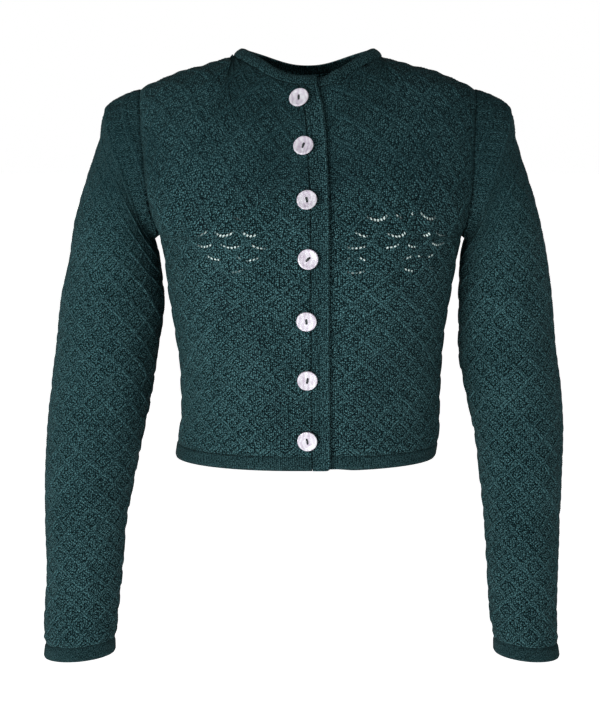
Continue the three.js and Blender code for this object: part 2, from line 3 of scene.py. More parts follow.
import bmesh
import bpy
import numpy as np
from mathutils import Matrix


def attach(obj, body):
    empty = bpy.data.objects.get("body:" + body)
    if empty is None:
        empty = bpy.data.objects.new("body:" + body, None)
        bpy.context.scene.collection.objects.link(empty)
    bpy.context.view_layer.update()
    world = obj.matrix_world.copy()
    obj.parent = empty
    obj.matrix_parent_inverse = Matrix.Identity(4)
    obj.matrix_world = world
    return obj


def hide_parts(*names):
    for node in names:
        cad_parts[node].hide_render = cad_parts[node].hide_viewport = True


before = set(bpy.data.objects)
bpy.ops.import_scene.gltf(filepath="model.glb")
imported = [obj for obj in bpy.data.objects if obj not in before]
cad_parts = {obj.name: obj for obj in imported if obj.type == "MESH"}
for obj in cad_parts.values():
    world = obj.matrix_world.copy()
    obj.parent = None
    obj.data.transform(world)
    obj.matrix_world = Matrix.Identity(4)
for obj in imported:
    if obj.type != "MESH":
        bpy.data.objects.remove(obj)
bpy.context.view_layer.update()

# ---- back ----
# The back is one panel of fine wool, knitted in a diamond lattice of raised twisted
# stitches over a seeded ground, shaped to the waist and sewn to the fronts at the
# sides and shoulders. All measures are millimetres until a mesh is placed.
HEM_SEAM = -383
HEM_BOTTOM = -397
ARMPIT = -177
SHOULDER_TURN = -75
NECK_HALF = 73
SHOULDER_HALF = 163
FRONT_NECK = 68
BACK_NECK = 62
NECK_ROUND = 2.2
SQUARENESS = 2.25
SEAM = 0.3
CLOTH = 2
STITCHES = 6  # stitches in half a diamond
COLUMNS = 14 * STITCHES
NECK_COLUMNS = 8 * STITCHES
LOWER_ROWS = 18 * STITCHES
UPPER_ROWS = 12 * STITCHES
RIDGE_RELIEF = 1.25
INNER_RELIEF = 0.3
ARMHOLE = {"middle": -105.5, "half_height": 71.5, "front": 47, "back": 50}
# The yarn's ramp: its dark end also colours painted shade and its light end painted highlights.
YARN_DARK_AND_SHADED = (0.0009, 0.0038, 0.0046, 1)
YARN_MIDDLE = (0.0055, 0.0185, 0.0213, 1)
YARN_LIGHT_AND_LIT = (0.055, 0.128, 0.138, 1)
WOOL_SHEEN = (0.3, 0.62, 0.6, 1)
OPEN_LOOP = (0.5, 0.6, 0.58, 1)
SEEDS_IN_HALF_DIAMOND = (6.8, 7.8, 1)


def table_curves(names, rows):
    """One smooth curve for each named column, read at a value of the first."""
    columns = np.array(sorted(rows), float).T
    curves = {}
    for name, values in zip(names.split()[1:], columns[1:]):
        curves[name] = smooth_curve(columns[0], values)
    return curves


def smooth_curve(at, values):
    """A curve through the values that never overshoots them."""
    rate = np.diff(values) / np.diff(at)
    both = rate[:-1] * rate[1:]
    total = np.where(both > 0, rate[:-1] + rate[1:], 1)
    slope = np.concatenate([rate[:1], np.where(both > 0, 2 * both / total, 0), rate[-1:]])

    def read(value):
        value = np.clip(value, at[0], at[-1])
        low = np.clip(np.searchsorted(at, value, side="right") - 1, 0, len(at) - 2)
        span = at[low + 1] - at[low]
        t = (value - at[low]) / span
        return (
            (2 * t**3 - 3 * t**2 + 1) * values[low]
            + (t**3 - 2 * t**2 + t) * slope[low] * span
            + (3 * t**2 - 2 * t**3) * values[low + 1]
            + (t**3 - t**2) * slope[low + 1] * span
        )

    return read


body = table_curves(
    "z half lean front back",
    [
        (-400, 130, -2.5, 95, 88),
        (-380, 130, 0.5, 97, 88),
        (-350, 128.5, 3, 99, 86),
        (-310, 129.5, 3, 103, 86),
        (-270, 133.5, 1.8, 110, 89),
        (-230, 139.5, 2.2, 117, 94),
        (-200, 143.5, 3, 120, 98),
        (-177, 148.5, 3, 119, 100),
        (-150, 161, 2, 114, 101),
        (-105, 173, 1, 102, 98),
        (-70, 176, 0, 89, 89),
        (-50, 173, 0, 78, 80),
        (-40, 168, 0, 72.5, 75),
        (-34, 163, 0, 70, 71.5),
        (-26.5, 147, 0, 65, 68),
        (-19, 130, 0, 59.5, 63),
        (-11, 101, 0, 53, 57),
        (-3, 73, 0, 47, 50),
        (6, 50, 0, 41, 43),
    ],
)


def lerp(low, high, share):
    return low + (high - low) * share


def smoothstep(value, low, high):
    t = np.clip((value - low) / (high - low), 0, 1)
    return t * t * (3 - 2 * t)


def squared(value, roundness):
    return np.sign(value) * np.abs(value) ** (2 / roundness)


def spread(path, steps):
    """Points equally far apart along a path of many close points."""
    lengths = np.concatenate([[0], np.cumsum(np.linalg.norm(np.diff(path, axis=0), axis=1))])
    goals = np.linspace(0, lengths[-1], steps + 1)
    return np.stack([np.interp(goals, lengths, path[:, axis]) for axis in range(3)], -1)


def on_body(angle, z):
    """The body's form, the angle going from the front's middle (0) to a side and the back."""
    depth = np.where(np.cos(angle) > 0, body["front"](z), body["back"](z))
    x = body["lean"](z) + body["half"](z) * squared(np.sin(angle), SQUARENESS)
    y = -depth * squared(np.cos(angle), SQUARENESS)
    return np.stack(np.broadcast_arrays(x, y, z), -1)


def body_at(x, z, face):
    """The body's form at this x, on the front (-1) or the back (+1)."""
    depth = body["front"](z) if face < 0 else body["back"](z)
    across = np.minimum(np.abs(x - body["lean"](z)) / body["half"](z), 1)
    y = face * depth * (1 - across**SQUARENESS) ** (1 / SQUARENESS)
    return np.stack(np.broadcast_arrays(x, y, z), -1)


def body_level(x, y, z):
    depth = np.where(y < 0, body["front"](z), body["back"](z))
    across = np.abs(x - body["lean"](z)) / body["half"](z)
    return across**SQUARENESS + (np.abs(y) / depth) ** SQUARENESS


def body_normals(points):
    """Unit vectors standing off the body's form."""
    normals = np.empty_like(points)
    for axis in range(3):
        step = np.zeros(3)
        step[axis] = 0.01
        after = body_level(*np.moveaxis(points + step, -1, 0))
        normals[..., axis] = after - body_level(*np.moveaxis(points - step, -1, 0))
    return normals / np.linalg.norm(normals, axis=-1, keepdims=True)


def top_height(x, y):
    """The height of the form straight above a point of its upper part."""
    low, high = np.full(np.shape(x), -60.0), np.full(np.shape(x), 6.0)
    for _ in range(24):
        middle = (low + high) / 2
        inside = body_level(x, y, middle) < 1
        low, high = np.where(inside, middle, low), np.where(inside, high, middle)
    return low


def ridge_height(x):
    heights = np.linspace(6, -34, 400)
    return np.interp(np.abs(x), body["half"](heights), heights)


def panel_start(side, face, z):
    """Where half a panel begins: at the back's middle, or beside a front's band."""
    if face > 0:
        return body["lean"](z)
    return front_edge(z) - BAND_WIDTH if side < 0 else front_edge(z) - LAP + BAND_WIDTH


def neck_path(side, face, start_x):
    """The neck seam from the front's or back's middle round to a shoulder."""
    reach = FRONT_NECK if face < 0 else BACK_NECK
    begin = np.sign(start_x) * np.arcsin((abs(start_x) / NECK_HALF) ** (NECK_ROUND / 2))
    angle = np.linspace(begin, side * np.pi / 2, 200)
    x = NECK_HALF * squared(np.sin(angle), NECK_ROUND)
    y = face * reach * squared(np.maximum(np.cos(angle), 0), NECK_ROUND)
    return np.stack([x, y, top_height(x, y)], -1)


def side_angle(side, face, z):
    """The angle of the side seam, and above the armpit that of the armhole."""
    if z <= ARMPIT:
        return side * np.pi / 2
    up = (z - ARMHOLE["middle"]) / ARMHOLE["half_height"]
    y = ARMHOLE["front" if face < 0 else "back"] * math.sqrt(max(1 - up * up, 0))
    depth = body["front"](z) if face < 0 else body["back"](z)
    from_front = math.acos((y / depth) ** (SQUARENESS / 2))
    return side * (from_front if face < 0 else np.pi - from_front)


def level_row(side, face, z):
    """The stitches of one level row, from the start of half a panel to its side."""
    off = panel_start(side, face, z) - body["lean"](z)
    turn = np.sign(off) * np.arcsin((abs(off) / body["half"](z)) ** (SQUARENESS / 2))
    begin = turn if face < 0 else side * np.pi
    return spread(on_body(np.linspace(begin, side_angle(side, face, z), 160), z), COLUMNS)


def half_panel(side, face):
    """Half a panel's stitches, net[row][column], from the hem to neck and shoulder."""
    lower = [level_row(side, face, z) for z in np.linspace(HEM_SEAM, ARMPIT, LOWER_ROWS + 1)]
    reach = face * (FRONT_NECK if face < 0 else BACK_NECK)
    neck_start = float(panel_start(side, face, top_height(0.0, float(reach))))
    neck = spread(neck_path(side, face, neck_start), NECK_COLUMNS)
    share = np.arange(1, COLUMNS - NECK_COLUMNS + 1) / (COLUMNS - NECK_COLUMNS)
    shoulder_x = side * lerp(NECK_HALF, SHOULDER_HALF, share)
    shoulder = np.stack([shoulder_x, 0 * shoulder_x, ridge_height(shoulder_x)], -1)
    top = np.concatenate([neck, shoulder])
    levels = np.linspace(ARMPIT, SHOULDER_TURN, 41)
    rising_rows = np.array([level_row(side, face, z) for z in levels])
    t = np.linspace(0, 1, 41)[1:, None]
    z = top[:, 2] - (top[:, 2] - SHOULDER_TURN) * (1 - t) ** 2
    rising = smoothstep((z - SHOULDER_TURN) / (top[:, 2] - SHOULDER_TURN), 0, 1)
    turn_start = panel_start(side, face, SHOULDER_TURN)
    start = panel_start(side, face, z) - lerp(turn_start, neck_start, rising)
    fade = np.maximum(1 - np.arange(COLUMNS + 1) / NECK_COLUMNS, 0)
    x = lerp(rising_rows[-1][:, 0], top[:, 0], rising) + start * fade
    turned_rows = body_at(x, z, face)
    turned_rows[-1] = top
    path = np.concatenate([rising_rows, turned_rows])
    upper = [spread(path[:, column], UPPER_ROWS)[1:] for column in range(COLUMNS + 1)]
    return np.concatenate([lower, np.stack(upper, 1)])


def open_seams(net, face):
    """The side and shoulder seams lie half their gap off the middle, front and back."""
    net = net.copy()
    net[..., 1] = np.where(np.abs(net[..., 1]) < SEAM, face * SEAM / 2, net[..., 1])
    return net


def half_diamonds(net, first_column=0):
    """Where each stitch is in the lattice, counted in half diamonds across and up."""
    rows, columns = net.shape[:2]
    up, across = np.arange(rows) / STITCHES, (np.arange(columns) + first_column) / STITCHES
    return np.stack(np.meshgrid(across, up), -1)


def lattice(knit):
    """How far the knit stands out: twisted ridges round each diamond, a low one in it."""
    column, row = knit[..., 0], knit[..., 1]
    rising, falling = (column + row) / 2, (column - row) / 2
    gap = np.minimum(np.abs(rising - np.round(rising)), np.abs(falling - np.round(falling)))
    ridges = RIDGE_RELIEF * np.exp(-((gap / 0.1) ** 2))
    return ridges + INNER_RELIEF * np.exp(-(((gap - 0.42) / 0.09) ** 2))


def from_edge(net, closed=False):
    """0 at a seam and 1 from two stitches in."""
    rows, columns = net.shape[:2]
    row = np.minimum(np.arange(rows), np.arange(rows)[::-1])[:, None]
    column = np.minimum(np.arange(columns), np.arange(columns)[::-1])[None, :]
    return np.clip((row if closed else np.minimum(row, column)) / 3, 0, 1)


def soft_folds(across, z, folds):
    """Soft troughs (depth below 0) and ridges, each along one bowed line."""
    total = np.zeros_like(z)
    for x0, z0, x1, z1, bow, width, depth in folds:
        long, high = x1 - x0, z1 - z0
        length = math.hypot(long, high)
        t = ((across - x0) * long + (z - z0) * high) / length**2
        aside = ((z - z0) * long - (across - x0) * high) / length - bow * 4 * t * (1 - t)
        total += depth * np.exp(-((aside / width) ** 2)) * np.exp(-(((t - 0.5) / 0.5) ** 4))
    return total


def loose_knit(net, amount, seed):
    """The slight unevenness of hand-finished wool, in long soft waves."""
    chance = np.random.default_rng(seed)
    total = np.zeros(net.shape[:2])
    for _ in range(14):
        wave = chance.normal(size=3) * np.array([1, 0.6, 0.7]) / 26
        total += np.sin(net @ wave + chance.uniform(0, 2 * np.pi))
    return amount * total / 3.7


def knit_piece(name, net, outward, knit=None, closed=False, thickness=CLOTH, stretch=None):
    """A thin shell of knitting on a net of stitches, its inside plain."""
    rows, columns = net.shape[0] - 1, net.shape[1] - 1
    knit = half_diamonds(net) if knit is None else knit
    form = bmesh.new()
    bmesh.ops.create_grid(form, x_segments=columns, y_segments=rows, size=1)
    stitch_map = form.loops.layers.uv.new("knit")
    stretched = form.verts.layers.float.new("stretch")
    place = np.array([(v.co.x, v.co.y) for v in form.verts])
    column = np.rint((place[:, 0] + 1) / 2 * columns).astype(int)
    row = np.rint((place[:, 1] + 1) / 2 * rows).astype(int)
    for at, vert in enumerate(form.verts):
        vert.co = net[row[at], column[at]] * 0.001
        if stretch is not None:
            vert[stretched] = stretch[row[at], column[at]]
    form.verts.index_update()
    for face in form.faces:
        for loop in face.loops:
            at = loop.vert.index
            loop[stitch_map].uv = knit[row[at], column[at]]
    form.normal_update()
    facing = sum(face.normal.dot(outward(face.calc_center_median() * 1000)) for face in form.faces)
    if facing < 0:
        bmesh.ops.reverse_faces(form, faces=form.faces)
    if closed:
        border = [vert for vert in form.verts if vert.is_boundary]
        bmesh.ops.remove_doubles(form, verts=border, dist=0.00001)
    mesh = bpy.data.meshes.new(name)
    form.to_mesh(mesh)
    form.free()
    mesh.shade_smooth()
    piece = bpy.data.objects.new(name, mesh)
    bpy.context.collection.objects.link(piece)
    cloth = piece.modifiers.new("cloth", "SOLIDIFY")
    cloth.thickness = thickness * 0.001
    cloth.offset = -1
    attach(piece, "root")
    return piece


def from_body_middle(point):
    return type(point)((point.x, point.y, 0)).normalized()


def wool_knit(name, pattern):
    """Fine petrol-green wool: lattice over seeded ground, plain stitch, or a band of both."""
    material = bpy.data.materials.new(name)
    material.use_nodes = True
    tree = material.node_tree
    shader = tree.nodes["Principled BSDF"]

    def made(kind, **settings):
        node = tree.nodes.new(kind)
        for key, value in settings.items():
            setattr(node, key, value)
        return node

    def feed(node, inputs):
        for socket, value in inputs.items():
            if isinstance(value, bpy.types.NodeSocket):
                tree.links.new(value, node.inputs[socket])
            else:
                node.inputs[socket].default_value = value
        return node

    def maths(operation, first, second=0.0):
        node = made("ShaderNodeMath", operation=operation)
        return feed(node, {0: first, 1: second}).outputs[0]

    def plus(first, second):
        return maths("ADD", first, second)

    def minus(first, second):
        return maths("SUBTRACT", first, second)

    def times(first, second):
        return maths("MULTIPLY", first, second)

    def away_from(value, goal):
        return maths("ABSOLUTE", minus(value, goal))

    def fading(value, full, gone):
        """1 where the value is at full, falling smoothly to 0 where it is at gone."""
        node = made("ShaderNodeMapRange", interpolation_type="SMOOTHSTEP")
        low, high, at_low, at_high = (full, gone, 1, 0) if full < gone else (gone, full, 0, 1)
        ends = {"From Min": low, "From Max": high, "To Min": at_low, "To Max": at_high}
        return feed(node, {"Value": value, **ends}).outputs["Result"]

    stitch_map = made("ShaderNodeUVMap", uv_map="knit").outputs["UV"]
    place = made("ShaderNodeTexCoord").outputs["Object"]
    drift = feed(made("ShaderNodeTexNoise"), {"Vector": place, "Scale": 95.0, "Detail": 2.0})
    bent = made("ShaderNodeVectorMath", operation="MULTIPLY_ADD")
    feed(bent, {0: drift.outputs["Color"], 1: (0.16, 0.16, 0), 2: stitch_map})
    apart = feed(made("ShaderNodeSeparateXYZ"), {0: bent.outputs[0]})
    across, up = apart.outputs["X"], apart.outputs["Y"]
    cells = made("ShaderNodeVectorMath", operation="MULTIPLY")
    feed(cells, {0: bent.outputs[0], 1: SEEDS_IN_HALF_DIAMOND})
    seeds = made("ShaderNodeTexVoronoi", voronoi_dimensions="2D")
    feed(seeds, {"Vector": cells.outputs[0], "Scale": 1.0, "Randomness": 0.62})
    seed_height = fading(seeds.outputs["Distance"], 0.08, 0.62)
    chance = feed(made("ShaderNodeSeparateColor"), {0: seeds.outputs["Color"]}).outputs[0]

    # Plain stitch: columns of slanting legs.
    column = maths("PINGPONG", times(across, 6.0), 0.5)
    leaning = plus(times(up, 7.5), times(column, 1.3))
    leg = times(maths("PINGPONG", leaning, 0.5), 2.0)
    between = fading(column, 0.0, 0.12)
    plain_height = minus(leg, times(between, 0.6))

    if pattern == "lattice":
        # A twisted ridge with a groove along it and one beside it, a small diamond inside.
        rising = maths("PINGPONG", times(plus(across, up), 0.5), 0.5)
        falling = maths("PINGPONG", times(minus(across, up), 0.5), 0.5)
        gap = maths("MINIMUM", rising, falling)
        groove = fading(gap, 0.0, 0.035)
        ridge = fading(gap, 0.04, 0.14)
        beside = fading(away_from(gap, 0.175), 0.0, 0.045)
        inner = fading(away_from(gap, 0.33), 0.0, 0.04)
        dark = plus(times(groove, 0.5), times(beside, 0.7))
        dark = plus(dark, times(inner, 0.45))
        relief = minus(plus(seed_height, times(ridge, 0.8)), dark)
        height = feed(made("ShaderNodeSeparateXYZ"), {0: place}).outputs["Z"]
        clear = plus(times(fading(height, -0.2, -0.09), 0.6), 0.4)
        # The ridges are painted lighter and the grooves darker: a painted highlight and painted
        # shade of the relief, both weaker towards the top.
        painted_light_and_shade = minus(times(ridge, 0.12), times(dark, 0.56))
        painted_light_and_shade = times(painted_light_and_shade, clear)
    elif pattern == "plain":
        relief = plus(times(seed_height, 0.4), plain_height)
        # Stitch legs are painted lighter and the gaps between columns darker: a painted highlight
        # and painted shade.
        painted_light_and_shade = times(minus(plain_height, 0.5), 0.12)
    else:
        seeded = fading(across, 0.86, 0.76)
        chain = fading(away_from(across, 1.4), 0.0, 0.1)
        seamed = fading(across, 0.0, 0.09)
        mixed = made("ShaderNodeMix")
        strip = plus(times(seed_height, 0.4), plain_height)
        feed(mixed, {0: seeded, 2: strip, 3: seed_height})
        relief = plus(mixed.outputs[0], times(chain, 0.8))
        # The chained edge is painted lighter and the strip beside the seam darker: a painted
        # highlight on the chain and painted shade in the seam's groove.
        painted_light_and_shade = minus(times(chain, 0.12), times(seamed, 0.12))

    # The yarn's colour: seed tops painted lighter and the gaps between seeds darker (a painted
    # highlight and painted shade), with random tone per seed, hairs and faint patches of dye.
    hairs = feed(made("ShaderNodeTexNoise"), {"Vector": place, "Scale": 1200.0, "Detail": 2.0})
    hairs.inputs["Roughness"].default_value = 0.7
    patches = feed(made("ShaderNodeTexNoise"), {"Vector": place, "Scale": 22.0, "Detail": 2.0})
    speckle = plus(minus(seed_height, 0.42), times(minus(chance, 0.5), 0.45))
    if pattern == "lattice":
        speckle = times(speckle, minus(1.0, times(ridge, 0.4)))
    depth = plus(times(clear, 0.58), 0.22) if pattern == "lattice" else 0.6
    shade = plus(times(speckle, depth), painted_light_and_shade)
    fuzz = plus(times(clear, 1.05), 0.4) if pattern == "lattice" else 0.8
    shade = plus(shade, times(minus(hairs.outputs["Fac"], 0.5), fuzz))
    shade = plus(shade, times(minus(patches.outputs["Fac"], 0.5), 0.2))
    # One ramp colours the yarn's random tone and the painted highlight and shade alike.
    yarn = made("ShaderNodeValToRGB")
    feed(yarn, {0: plus(shade, 0.46)})
    yarn.color_ramp.elements[0].color = YARN_DARK_AND_SHADED
    yarn.color_ramp.elements[0].position = 0.12
    yarn.color_ramp.elements[1].color = YARN_LIGHT_AND_LIT
    yarn.color_ramp.elements[1].position = 1.0
    yarn.color_ramp.elements.new(0.5).color = YARN_MIDDLE
    colour = yarn.outputs["Color"]
    if pattern == "lattice":
        # Where the knit is drawn open, a bowed row of pale loops low in a diamond.
        open_stitch = feed(made("ShaderNodeAttribute", attribute_name="stretch"), {}).outputs["Fac"]
        climb = maths("FRACT", times(plus(across, up), 0.5))
        fall = maths("FRACT", times(minus(across, up), 0.5))
        aside = minus(plus(climb, fall), 1.0)
        above = minus(climb, fall)
        width = maths("ABSOLUTE", aside)
        bowl = minus(plus(above, 0.42), times(maths("POWER", width, 2.0), 0.5))
        rows = times(fading(maths("ABSOLUTE", bowl), 0.035, 0.09), fading(width, 0.6, 0.75))
        dots = fading(maths("PINGPONG", times(across, 4.2), 0.5), 0.16, 0.34)
        chains = feed(made("ShaderNodeTexNoise"), {"Vector": place, "Scale": 48.0, "Detail": 1.0})
        rows = times(rows, fading(chains.outputs["Fac"], 0.5, 0.43))
        loops = times(times(dots, rows), open_stitch)
        pale = made("ShaderNodeMix", data_type="RGBA")
        feed(pale, {0: loops, 6: colour, 7: OPEN_LOOP})
        colour = pale.outputs[2]
    bump = made("ShaderNodeBump")
    height = plus(relief, times(hairs.outputs["Fac"], 0.5))
    feed(bump, {"Strength": 0.85, "Distance": 0.0007, "Height": height})
    feed(shader, {"Base Color": colour, "Normal": bump.outputs["Normal"], "Roughness": 0.92})
    feed(shader, {"Specular IOR Level": 0.03, "Sheen Weight": 0.02, "Sheen Roughness": 0.5})
    shader.inputs["Sheen Tint"].default_value = WOOL_SHEEN
    return material


lattice_wool = wool_knit("lattice wool", "lattice")
BAND_WIDTH = 18
LAP = 40
front_edge = table_curves(
    "z x",
    [
        (-400, 22.2),
        (-327, 21.3),
        (-230, 20.4),
        (-172, 20.3),
        (-136, 19.8),
        (-101, 18.2),
        (-73, 16.8),
        (-52, 14.4),
        (-40, 11.5),
        (-31, 9),
        (-20, 5.5),
    ],
)["x"]
halves = {(side, face): half_panel(side, face) for side in (-1, 1) for face in (-1, 1)}
back_net = np.concatenate([halves[-1, 1][:, :0:-1], halves[1, 1]], axis=1)
back_net = open_seams(back_net, 1)
BACK_FOLDS = [
    (-128, -196, -46, -236, 5, 7, -2.2),
    (-118, -214, -58, -268, -4, 9, -1.6),
    (130, -192, 52, -228, -6, 8, -2.4),
    (122, -222, 70, -262, 3, 7, -1.3),
    (-86, -318, 4, -332, 6, 10, -1.7),
    (94, -306, 22, -338, -5, 9, -1.9),
    (-40, -352, 76, -360, 4, 8, -1.2),
    (-120, -120, -92, -176, 5, 8, -1.6),
    (122, -112, 98, -170, -4, 9, -1.4),
    (-20, -90, 48, -110, 4, 14, 1.0),
    (-104, -286, -60, -300, 3, 8, 1.1),
]
back_knit = half_diamonds(back_net, -COLUMNS)
back_lift = (lattice(back_knit) + loose_knit(back_net, 0.45, 3)) * from_edge(back_net)
back_lift += soft_folds(back_net[..., 0], back_net[..., 2], BACK_FOLDS) * from_edge(back_net)
back_net += body_normals(back_net) * back_lift[..., None]
back = knit_piece("back_knit", back_net, from_body_middle, back_knit)
back.data.materials.append(lattice_wool)
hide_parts("back")

# ---- fronts ----
# Two front panels in the same lattice, each from the plain band round to the side seam.
# The wearer's right one lies on top; the left one runs in under it. The knit is drawn
# open over the bust, so that pale loops show between the stitches there.
UNDERLAP_DROP = 4.8
FRONT_FOLDS = [
    (-138, -188, -72, -216, 5, 7, -2.3),
    (-132, -206, -88, -246, -3, 8, -1.5),
    (-104, -132, -128, -180, -4, 8, -1.7),
    (-120, -300, -58, -314, 4, 10, -1.3),
    (-96, -346, -18, -352, -3, 9, -1.1),
    (-70, -262, -24, -286, 4, 12, 0.9),
    (140, -186, 78, -212, -5, 8, -2.2),
    (134, -210, 92, -252, 4, 7, -1.6),
    (108, -128, 130, -176, 5, 8, -1.8),
    (124, -296, 66, -318, -4, 9, -1.5),
    (92, -350, 34, -345, 3, 10, -1.0),
    (64, -258, 30, -292, -3, 12, 0.8),
]
BUST_LOOPS = [
    # x, z, half width, half height, strength
    (-72, -181, 34, 27, 0.8),
    (84, -178, 50, 38, 1.0),
    (60, -198, 26, 16, 0.7),
]


def underlap(points):
    """How far in the covered front lies, rising out from under the other's edge."""
    past = points[..., 0] - front_edge(points[..., 2])
    return UNDERLAP_DROP * (1 - smoothstep(past, 5, 24))


def drawn_open(net):
    x, z = net[..., 0], net[..., 2]
    total = np.zeros(net.shape[:2])
    for x0, z0, wide, high, strength in BUST_LOOPS:
        total += strength * smoothstep(1 - np.hypot((x - x0) / wide, (z - z0) / high), 0, 0.3)
    return np.clip(total, 0, 1)


for side, word in ((-1, "right"), (1, "left")):
    net = open_seams(halves[side, -1], -1)
    drop = underlap(net) if side > 0 else np.zeros(net.shape[:2])
    lift = (lattice(half_diamonds(net)) + loose_knit(net, 0.4, 5 + side)) * from_edge(net)
    lift += soft_folds(net[..., 0], net[..., 2], FRONT_FOLDS) * from_edge(net)
    open_knit = drawn_open(net)
    net = net + body_normals(net) * (lift * (1 - drop / UNDERLAP_DROP) - drop)[..., None]
    front = knit_piece(f"front_{word}_knit", net, from_body_middle, stretch=open_knit)
    front.data.materials.append(lattice_wool)
    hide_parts(f"front_{word}")

# ---- hems ----
# A plain strip of double knitting, turned up along the lower edge of each panel and
# sewn down in a shallow groove.
plain_wool = wool_knit("plain wool", "plain")
TURNED_CLOTH = 2.6
HEM_ROWS = 12
SEAM_GROOVE = 1.2
TUCK = [
    # above the seam, out from the knit (below 0 is behind it)
    (-0.6, -1.2),
    (0.6, -2.4),
    (4, -2.6),
]


def turned_profile(share, flare=0.0):
    """How far a turned strip stands out, from the groove above it to its rounded edge."""
    groove = -0.9 * np.exp(-((share / 0.1) ** 2))
    edge = -1.1 * np.exp(-(((1 - share) / 0.09) ** 2))
    return 0.7 + groove + edge + flare * share


for name, face, sides in (("right", -1, (-1,)), ("left", -1, (1,)), ("back", 1, (-1, 1))):
    heights = np.linspace(HEM_BOTTOM, HEM_SEAM - SEAM_GROOVE, HEM_ROWS + 1)
    heights = np.concatenate([heights, [HEM_SEAM + up for up, _ in TUCK]])
    nets = [np.array([level_row(side, face, z) for z in heights]) for side in sides]
    net = nets[0] if len(nets) == 1 else np.concatenate([nets[0][:, :0:-1], nets[1]], axis=1)
    net = open_seams(net, face)
    share = np.clip((HEM_SEAM - net[..., 2]) / (HEM_SEAM - HEM_BOTTOM), 0, 1)
    drop = underlap(net) if name == "left" else 0
    lift = turned_profile(share) + loose_knit(net, 0.3, 11)
    lift[-len(TUCK) :] = np.array([inside for _, inside in TUCK])[:, None]
    lift = lift - drop
    net = net + body_normals(net) * lift[..., None]
    hem = knit_piece(f"hem_{name}_knit", net, from_body_middle, thickness=TURNED_CLOTH)
    hem.data.materials.append(plain_wool)
    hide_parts(f"hem_{name}")

# ---- front bands ----
# Each front ends in a band worked in one with it: a strip of plain stitch, a strip of
# seed stitch and a chained edge. It runs past the hem to the very bottom, its lower
# corner rounded, and up to the neckband.
band_wool = wool_knit("band wool", "band")
BAND_COLUMNS = 12
for side, word in ((-1, "right"), (1, "left")):
    levels = halves[side, -1][:, 0, 2]
    levels = np.concatenate([np.linspace(HEM_BOTTOM, levels[0], 8)[:-1], levels])
    share = np.linspace(0, 1, BAND_COLUMNS + 1)
    edge = front_edge(levels) - (LAP if side > 0 else 0)
    seam = panel_start(side, -1, levels) - side * 1.5 * SEAM
    x = lerp(seam[:, None], edge[:, None], share[None, :])
    net = body_at(x, np.repeat(levels[:, None], BAND_COLUMNS + 1, axis=1), -1)
    chain = 0.35 * np.exp(-(((share - 0.9) / 0.08) ** 2))
    rounded_edge = 0.9 * np.exp(-(((1 - share) / 0.05) ** 2))
    groove = 0.45 * np.exp(-((share / 0.08) ** 2))
    lift = chain - rounded_edge - groove + 0.25
    lift = lift[None, :] + loose_knit(net, 0.16, 17 + side)
    if side > 0:
        lift = lift - UNDERLAP_DROP - 0.25
    net = net + body_normals(net) * lift[..., None]
    # The lower corner at the edge is rounded off.
    corner = np.clip((share - 0.72) / 0.28, 0, 1)[None, :]
    low = np.clip(1 - (net[..., 2] - HEM_BOTTOM) / 12, 0, 1)
    net[..., 2] += low * 5 * (1 - np.sqrt(1 - corner**2 * 0.98))
    band = knit_piece(f"band_{word}_knit", net, from_body_middle)
    band.data.materials.append(band_wool)
    for loop in band.data.uv_layers["knit"].data:
        loop.uv.x *= 1.5 * STITCHES / BAND_COLUMNS
    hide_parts(f"band_{word}")

# ---- neckband ----
# A narrow band of plain stitch, picked up round the neck and rolled over double, that
# ends flush with the two front bands.
NECKBAND_LEAN = 9.5
NECKBAND_RISE = 9
NECKBAND_CLOTH = 2.2
NECKBAND_ROLL = 1.9
NECKBAND_TURNED_IN = 0.9
NECKBAND_TUCK = [
    # below the seam, how far in behind the knit
    (3.5, 2.6),
    (0.9, 2.45),
    (0, 1.2),
]


def neck_stops():
    """Points along the neck seam from the top front's edge round to the covered edge."""
    top = {key: net[-1, : NECK_COLUMNS + 1] for key, net in halves.items()}
    step = np.linspace(1, 0, 10)[:-1, None]
    edge, covered = top[-1, -1][0], top[1, -1][0]
    over = body_at(edge[0] + BAND_WIDTH * step[:, 0], np.full(9, edge[2]), -1)
    under = body_at(covered[0] - BAND_WIDTH * step[::-1, 0], np.full(9, covered[2]), -1)
    parts = [over, top[-1, -1][:-1], top[-1, 1][:0:-1], top[1, 1][:-1], top[1, -1][::-1], under]
    points = np.concatenate(parts)
    drop = np.zeros(len(points))
    drop[-len(under) - NECK_COLUMNS - 1 :] = underlap(points[-len(under) - NECK_COLUMNS - 1 :])
    drop[-len(under) :] = UNDERLAP_DROP
    return points, drop


stops, drop = neck_stops()
normals = body_normals(stops)
seam = stops - normals * drop[:, None]
inward = -stops * np.array([1, 1, 0])
inward /= np.linalg.norm(inward, axis=1, keepdims=True)
rise = inward * NECKBAND_LEAN + np.array([0, 0, NECKBAND_RISE])
outward = -inward * NECKBAND_RISE + np.array([0, 0, NECKBAND_LEAN])
outward /= np.linalg.norm(outward, axis=1, keepdims=True)
along = rise - normals * (rise * normals).sum(1, keepdims=True)
along /= np.linalg.norm(along, axis=1, keepdims=True)
foot = seam + along * 1.5 * SEAM
rows = [foot - along * below - normals * inside for below, inside in NECKBAND_TUCK]
for share in np.linspace(0, 1, 10):
    roll = NECKBAND_ROLL * math.sin(math.pi * share**0.8) ** 0.8 if 0 < share < 1 else 0
    rows.append(lerp(foot, seam + rise, share) + outward * roll)
net = np.array(rows)
net[-1] -= outward * NECKBAND_TURNED_IN
neckband = knit_piece("neckband_knit", net, from_body_middle, thickness=NECKBAND_CLOTH)
neckband.data.materials.append(plain_wool)
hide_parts("neckband")

